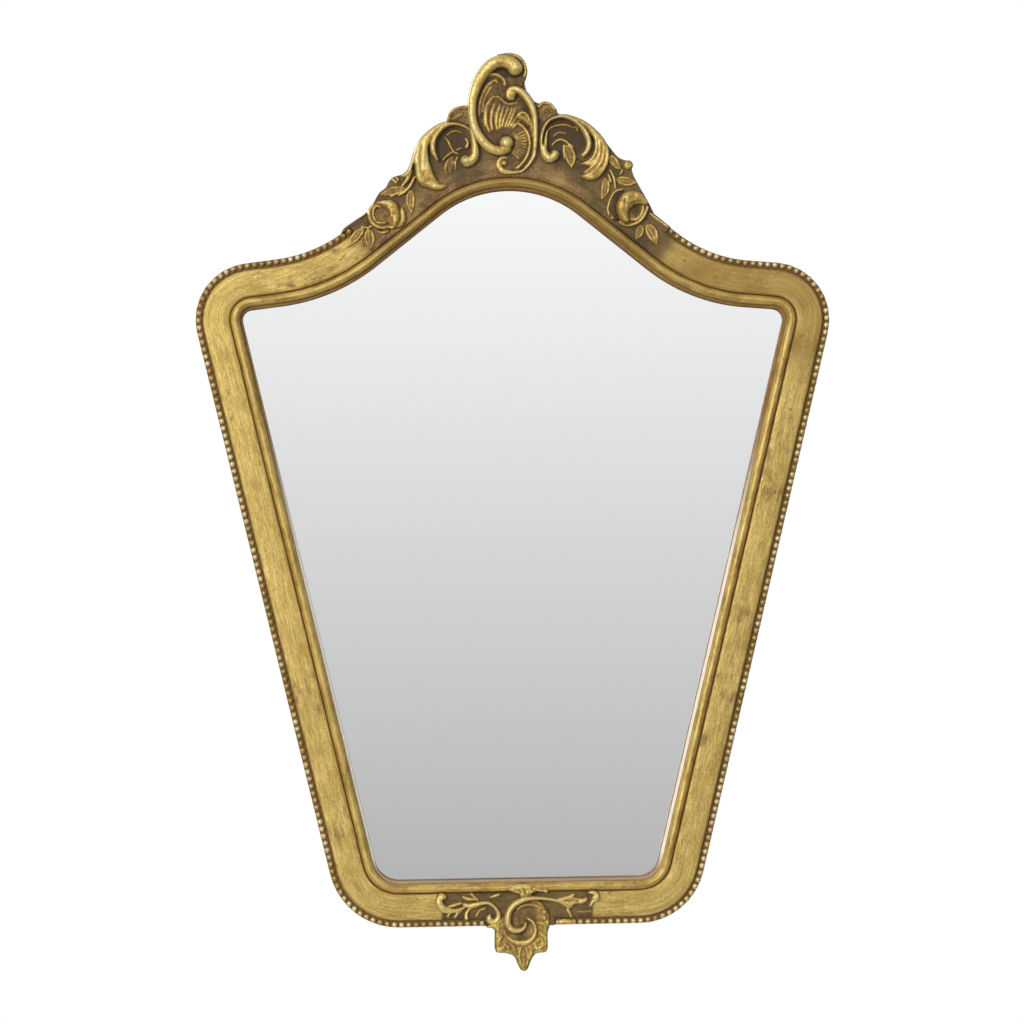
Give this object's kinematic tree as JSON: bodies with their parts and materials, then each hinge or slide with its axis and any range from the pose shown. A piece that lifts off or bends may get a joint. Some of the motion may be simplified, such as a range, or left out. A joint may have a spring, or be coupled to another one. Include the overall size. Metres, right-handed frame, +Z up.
{
  "type": "wall mirror",
  "caption": "Crested giltwood wall mirror: tapering moulded frame with beaded edge, carved scroll and rose crest, foot pendant, back board on turn buttons and a hanger ring.",
  "frame": {"origin": "the hanging point: on the wall plane, level with the top of the hanger ring, on the centre line", "axes": "+X to the viewer's right, +Z up, front facing -Y, wall plane at Y = 0"},
  "size_m": [0.4412, 0.0302, 0.6413],
  "materials": {
    "gilt_frame": "rubbed gilding over bole",
    "gilt_moulding": "burnished gilding",
    "gilt_bead": "gilding with dark gaps",
    "gilt_carving": "gilding, toned dark in the hollows",
    "mirror_plate": "silvered glass",
    "backing_sheet": "kraft paper",
    "back_board": "raw hardboard",
    "setting_blocks": "plain",
    "dowel_wood": "raw beech",
    "hardware_brass": "dull brass",
    "bumper_rubber": "matt"
  },
  "bodies": {
    "mirror": {"crest_rail": "gilt_frame", "right_stile": "gilt_frame", "bottom_rail": "gilt_frame", "left_stile": "gilt_frame", "sight_moulding_top": "gilt_moulding", "sight_moulding_right": "gilt_moulding", "sight_moulding_bottom": "gilt_moulding", "sight_moulding_left": "gilt_moulding", "bead_string_top_left": "gilt_bead", "bead_string_top_right": "gilt_bead", "bead_string_right": "gilt_bead", "bead_string_bottom_right": "gilt_bead", "bead_string_bottom_left": "gilt_bead", "bead_string_left": "gilt_bead", "crest_board": "gilt_frame", "crest_cartouche": "gilt_carving", "crest_scroll_left": "gilt_carving", "crest_scroll_right": "gilt_carving", "rose_spray_left": "gilt_carving", "rose_spray_right": "gilt_carving", "foot_scroll_left": "gilt_carving", "foot_scroll_right": "gilt_carving", "foot_pendant": "gilt_carving", "mirror_plate": "mirror_plate", "backing_sheet": "backing_sheet", "back_board": "back_board", "setting_blocks": "setting_blocks", "corner_dowels": "dowel_wood", "crest_dowels": "dowel_wood", "turn_button_screws": "hardware_brass", "hanger_screws": "hardware_brass", "hanger_strap": "hardware_brass", "wall_bumper_left": "bumper_rubber", "wall_bumper_right": "bumper_rubber"},
    "hanger_ring": {"hanger_ring": "hardware_brass"},
    "turn_button_1": {"turn_button_1": "hardware_brass"},
    "turn_button_2": {"turn_button_2": "hardware_brass"},
    "turn_button_3": {"turn_button_3": "hardware_brass"},
    "turn_button_4": {"turn_button_4": "hardware_brass"},
    "turn_button_5": {"turn_button_5": "hardware_brass"},
    "turn_button_6": {"turn_button_6": "hardware_brass"},
    "turn_button_7": {"turn_button_7": "hardware_brass"},
    "turn_button_8": {"turn_button_8": "hardware_brass"}
  },
  "joints": [
    {"name": "ring_swing", "type": "hinge", "parent": "mirror", "child": "hanger_ring", "pos_m": [0, -0.00372, -0.0147], "axis": [-1, 0, 0], "range_deg": [0, 170]},
    {"name": "turn_button_1_turn", "type": "hinge", "parent": "mirror", "child": "turn_button_1", "pos_m": [-0.07827, -0.006, -0.07863], "axis": [0, 1, 0], "continuous": true},
    {"name": "turn_button_2_turn", "type": "hinge", "parent": "mirror", "child": "turn_button_2", "pos_m": [0.07827, -0.006, -0.07863], "axis": [0, 1, 0], "continuous": true},
    {"name": "turn_button_3_turn", "type": "hinge", "parent": "mirror", "child": "turn_button_3", "pos_m": [0.18457, -0.006, -0.22216], "axis": [0, 1, 0], "continuous": true},
    {"name": "turn_button_4_turn", "type": "hinge", "parent": "mirror", "child": "turn_button_4", "pos_m": [0.12876, -0.006, -0.4604], "axis": [0, 1, 0], "continuous": true},
    {"name": "turn_button_5_turn", "type": "hinge", "parent": "mirror", "child": "turn_button_5", "pos_m": [0.036, -0.006, -0.5494], "axis": [0, 1, 0], "continuous": true},
    {"name": "turn_button_6_turn", "type": "hinge", "parent": "mirror", "child": "turn_button_6", "pos_m": [-0.036, -0.006, -0.5494], "axis": [0, 1, 0], "continuous": true},
    {"name": "turn_button_7_turn", "type": "hinge", "parent": "mirror", "child": "turn_button_7", "pos_m": [-0.12876, -0.006, -0.4604], "axis": [0, 1, 0], "continuous": true},
    {"name": "turn_button_8_turn", "type": "hinge", "parent": "mirror", "child": "turn_button_8", "pos_m": [-0.18457, -0.006, -0.22216], "axis": [0, 1, 0], "continuous": true}
  ]
}
